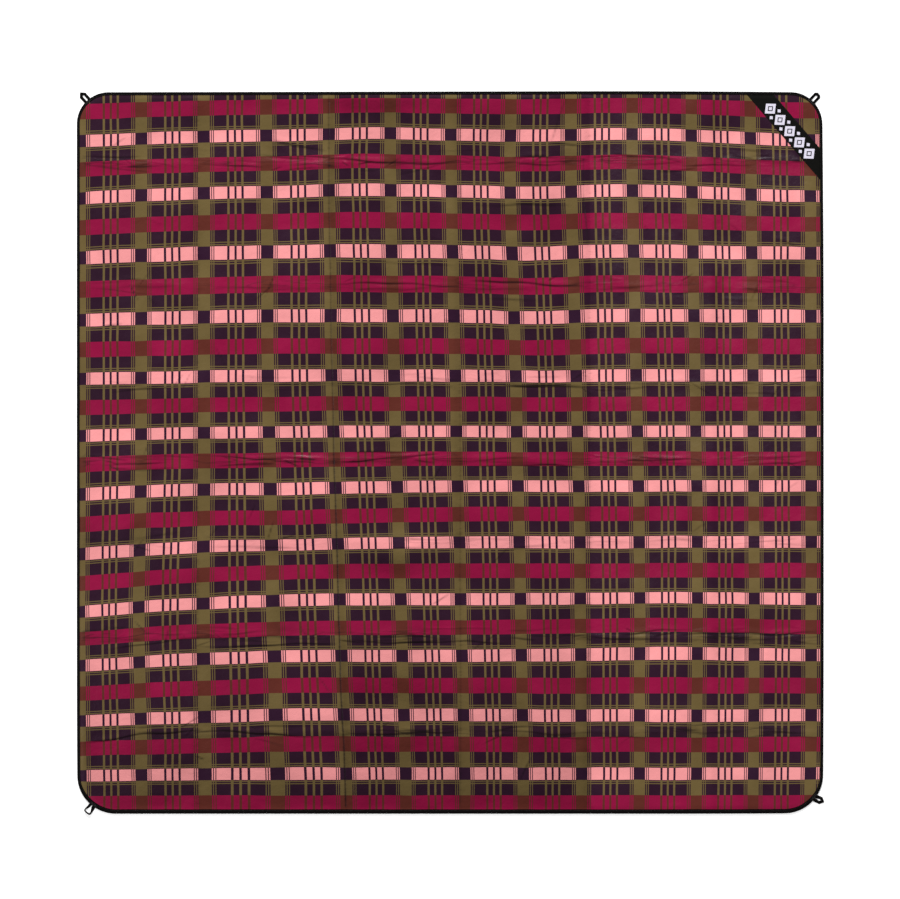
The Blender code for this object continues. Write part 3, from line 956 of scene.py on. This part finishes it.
class Cloth:
    """A material for cloth, whose nodes read the mesh's map, in metres."""

    def __init__(self, name, roughness, sheen=0.0, specular=0.5):
        looks = {"Roughness": roughness, "Specular IOR Level": specular, "Sheen Weight": sheen}
        self.material, self.shader = principled(name, {**looks, "Sheen Roughness": 0.4})
        self.tree = self.material.node_tree
        self.place = self.node("UVMap", uv_map="cloth").outputs["UV"]
        parts = self.node("SeparateXYZ", {0: self.place})
        self.u, self.v = parts.outputs["X"], parts.outputs["Y"]

    def node(self, kind, inputs=None, **settings):
        """A shader node with its settings, and its inputs set or linked."""
        made = self.tree.nodes.new("ShaderNode" + kind)
        for key, value in settings.items():
            setattr(made, key, value)
        for key, value in (inputs or {}).items():
            if isinstance(value, bpy.types.NodeSocket):
                self.tree.links.new(value, made.inputs[key])
            else:
                made.inputs[key].default_value = value
        return made

    def calc(self, operation, *values):
        return self.node("Math", dict(enumerate(values)), operation=operation).outputs[0]

    def wave(self, coordinate, length):
        return self.calc("SINE", self.calc("MULTIPLY", coordinate, 2 * math.pi / length))

    def weave(self, pitch):
        return self.calc("MULTIPLY", self.wave(self.u, pitch), self.wave(self.v, pitch))

    def noise(self, scale, detail=3.0, roughness=0.5, place=None):
        place = self.place if place is None else place
        inputs = {"Vector": place, "Scale": scale, "Detail": detail, "Roughness": roughness}
        return self.node("TexNoise", inputs).outputs[0]

    def remap(self, value, low, high, start=0.3, end=0.7):
        return self.node("MapRange", {0: value, 1: start, 2: end, 3: low, 4: high}).outputs[0]

    def bands(self, factor, stops):
        """Sharp bands of colour along a factor, each stop a place and the colour from there on."""
        made = self.node("ValToRGB", {"Fac": factor})
        ramp = made.color_ramp
        ramp.interpolation = "CONSTANT"
        ramp.elements.remove(ramp.elements[1])
        for number, (place, colour) in enumerate(stops):
            element = ramp.elements[0] if number == 0 else ramp.elements.new(place)
            element.position = place
            element.color = colour
        return made.outputs["Color"]

    def mixed(self, factor, first, second, blend="MIX"):
        """Two colours mixed, each a socket or its display values."""
        first, second = (srgb(*c) if isinstance(c, tuple) else c for c in (first, second))
        inputs = {0: factor, 6: first, 7: second}
        return self.node("Mix", inputs, data_type="RGBA", blend_type=blend).outputs[2]

    def finish(self, colour, *layers, roughness=None):
        """Sets the colour and the bumps, each a height, its strength and the depth that 1 stands for."""
        self.tree.links.new(colour, self.shader["Base Color"])
        if roughness:
            self.tree.links.new(roughness, self.shader["Roughness"])
        under = {}
        for height, strength, depth in layers:
            inputs = {"Height": height, "Strength": strength, "Distance": depth, **under}
            under = {"Normal": self.node("Bump", inputs).outputs["Normal"]}
        self.tree.links.new(under["Normal"], self.shader["Normal"])
        return self.material


def printed_cloth():
    """Smooth polyester with the plaid print, slack crumples, and painted shade in its creases and crumple
    lines.
    """
    cloth = Cloth("printed_cover", 0.4, specular=0.2)
    plum, olive, pink = srgb(44, 18, 37), srgb(107, 90, 53), srgb(246, 156, 157)
    crimson, brown, shade = srgb(143, 11, 61), srgb(96, 42, 33), srgb(47, 19, 42)
    half_across, half_along = REPEAT_ACROSS / 2, REPEAT_ALONG / 2
    across = cloth.calc("DIVIDE", cloth.calc("PINGPONG", cloth.u, half_across), half_across)
    along = cloth.calc("DIVIDE", cloth.calc("PINGPONG", cloth.v, half_along), half_along)
    ink = [(0.0, (1, 1, 1, 1))]
    ink += [(edge / half_across, (k % 2, k % 2, k % 2, 1)) for k, edge in enumerate(COLUMN_BANDS)]
    places = [0.0, *(edge / half_along for edge in ROW_BANDS)]
    rows = cloth.bands(along, zip(places, (pink, plum, olive, plum, olive, plum, crimson)))
    crossings = cloth.bands(along, zip(places, (shade, olive, olive, olive, olive, olive, brown)))
    colour = cloth.mixed(cloth.bands(across, ink), rows, crossings)
    cloud = cloth.remap(cloth.noise(7.0, 5.0), 0.88, 1.1)
    tone = cloth.calc("MULTIPLY", cloud, cloth.remap(cloth.noise(900.0, 2.0), 0.95, 1.05))
    grey = cloth.node("CombineColor", {0: tone, 1: tone, 2: tone}).outputs[0]
    colour = cloth.mixed(1.0, colour, grey, "MULTIPLY")
    values = [cloth.node("Attribute", attribute_name=name) for name in ("crease_shade", "pucker")]
    crease_shade, pucker = (value.outputs["Fac"] for value in values)
    stretch = {0: cloth.place, 1: (7.0, 62.0, 1.0)}
    drawn_out = cloth.node("VectorMath", stretch, operation="MULTIPLY").outputs[0]
    # Fine crumple lines in the puckered rows: a bump, and painted shade where the colour is darkened below.
    fold = cloth.calc("ABSOLUTE", cloth.calc("SUBTRACT", cloth.noise(1.0, 2.0, place=drawn_out), 0.5))
    fold = cloth.calc("MULTIPLY", cloth.remap(fold, 1.0, 0.0, 0.0, 0.055), pucker)
    # Painted shade: the crease shade and the crumple lines darken the print towards (22, 12, 16).
    dark = cloth.calc("ADD", cloth.calc("MULTIPLY", fold, 0.55), cloth.calc("MULTIPLY", crease_shade, 0.75))
    colour = cloth.mixed(cloth.calc("MINIMUM", dark, 0.8), colour, (22, 12, 16))
    return cloth.finish(
        colour, (cloth.noise(16.0, 4.0, 0.55), 0.8, 0.0034), (cloth.noise(60.0, 4.0, 0.6), 0.5, 0.0009),
        (fold, 0.5, 0.0003), (cloth.weave(0.0007), 0.25, 0.00006),
        roughness=cloth.remap(cloth.noise(14.0, 4.0), 0.36, 0.46),
    )


def foam_sheet():
    """Pale closed-cell foam."""
    cloth = Cloth("foam", 0.9)
    cells = cloth.node("TexVoronoi", {"Vector": cloth.place, "Scale": 1400.0}).outputs["Distance"]
    return cloth.finish(cloth.mixed(cells, (226, 224, 216), (200, 197, 188)), (cells, 0.5, 0.0002))


def coated_cloth():
    """The waterproof backing: dark coated cloth with a fine ripstop grid."""
    cloth = Cloth("backing", 0.42, sheen=0.05)
    lines = [cloth.calc("GREATER_THAN", cloth.wave(c, 0.006), 0.93) for c in (cloth.u, cloth.v)]
    grid = cloth.calc("MAXIMUM", *lines)
    colour = cloth.mixed(cloth.noise(9.0, 5.0), (30, 30, 33), (44, 44, 48))
    colour = cloth.mixed(cloth.calc("MULTIPLY", grid, 0.25), colour, (78, 78, 84))
    return cloth.finish(
        colour, (cloth.noise(20.0, 4.0, 0.6), 0.5, 0.0014), (grid, 0.3, 0.00015),
        (cloth.weave(0.0006), 0.2, 0.00005), roughness=cloth.remap(cloth.noise(22.0, 4.0), 0.34, 0.52),
    )


def ribbed_tape(name, rib):
    """Black woven tape with ribs across it."""
    cloth = Cloth(name, 0.7, specular=0.06)
    ribs, yarns = (cloth.wave(cloth.v, rib), 0.45, 0.00014), (cloth.wave(cloth.u, 0.0006), 0.3, 0.00005)
    tone = cloth.mixed(cloth.noise(60.0, 4.0), (4, 3, 3), (9, 7, 7))
    return cloth.finish(tone, ribs, yarns, (cloth.noise(120.0), 0.3, 0.0003))


def label_cloth():
    """Black satin-woven band with a fine diagonal twill."""
    cloth = Cloth("label", 0.55, specular=0.1)
    twill = cloth.wave(cloth.calc("ADD", cloth.u, cloth.v), 0.0009)
    tone = cloth.mixed(cloth.noise(40.0, 4.0), (7, 7, 5), (12, 12, 9))
    return cloth.finish(tone, (twill, 0.35, 0.00008), (cloth.noise(50.0), 0.4, 0.0005))


def pale_thread():
    """The motif's pale satin thread, laid along the band."""
    cloth = Cloth("motif_thread", 0.45, sheen=0.1)
    tone = cloth.mixed(cloth.noise(200.0), (218, 212, 232), (240, 236, 250))
    return cloth.finish(tone, (cloth.wave(cloth.v, 0.0007), 0.5, 0.00012))


def thread_material():
    """Black polyester sewing thread, twisted."""
    cloth = Cloth("thread", 0.5, sheen=0.1)
    twist = cloth.wave(cloth.calc("ADD", cloth.u, cloth.v), 0.0005)
    tone = cloth.mixed(cloth.calc("MULTIPLY_ADD", twist, 0.5, 0.5), (16, 14, 14), (36, 33, 33))
    return cloth.finish(tone, (twist, 0.4, 0.00006))


# ---- the studio


def make_floor():
    """A plain pale floor, as wide as any view needs."""
    material, _ = principled("floor", {
        "Base Color": (0.94, 0.94, 0.94, 1.0), "Roughness": 0.9, "Specular IOR Level": 0.0,
        "Emission Color": (1.0, 1.0, 1.0, 1.0), "Emission Strength": 0.45,
    })
    corners = [(x, y, -0.0004) for x, y in ((-30, -30), (30, -30), (30, 30), (-30, 30))]
    link("floor", corners, [(0, 1, 2, 3)], material, of_mat=False)


def soft_box(name, place, size, watts):
    """A large square light that faces the middle of the mat."""
    light = bpy.data.lights.new(name, "AREA")
    light.shape = "SQUARE"
    light.size = size
    light.energy = watts
    lamp = bpy.data.objects.new(name, light)
    lamp.location = place
    lamp.rotation_euler = (-Vector(place)).to_track_quat("-Z", "Y").to_euler()
    bpy.context.scene.collection.objects.link(lamp)


def make_studio():
    soft_box("light_left", (-6.4, -2.6, 5.0), 3.0, 260)
    soft_box("light_right", (6.4, -2.6, 5.0), 3.0, 150)
    soft_box("light_far", (-0.7, 10.5, 6.45), 2.7, 1660)
    world = bpy.data.worlds.new("studio")
    bpy.context.scene.world = world
    world.use_nodes = True
    background = world.node_tree.nodes["Background"]
    background.inputs["Color"].default_value = (1.0, 1.0, 1.0, 1.0)
    background.inputs["Strength"].default_value = 0.12


def make_camera():
    """Straight down, from so far up that the mat fills five sixths of the picture."""
    camera = bpy.data.cameras.new("camera")
    camera.lens = 100
    camera.sensor_width = 36
    camera.clip_end = 100
    holder = bpy.data.objects.new("camera", camera)
    holder.location = (-0.0006, 0.008, 6.697)
    bpy.context.scene.collection.objects.link(holder)
    bpy.context.scene.camera = holder
    bpy.context.scene.view_settings.view_transform = "Standard"


make_floor()
make_sheets()
thread = thread_material()
make_tape(thread)
make_label(thread)
make_loops(thread)
make_studio()
make_camera()
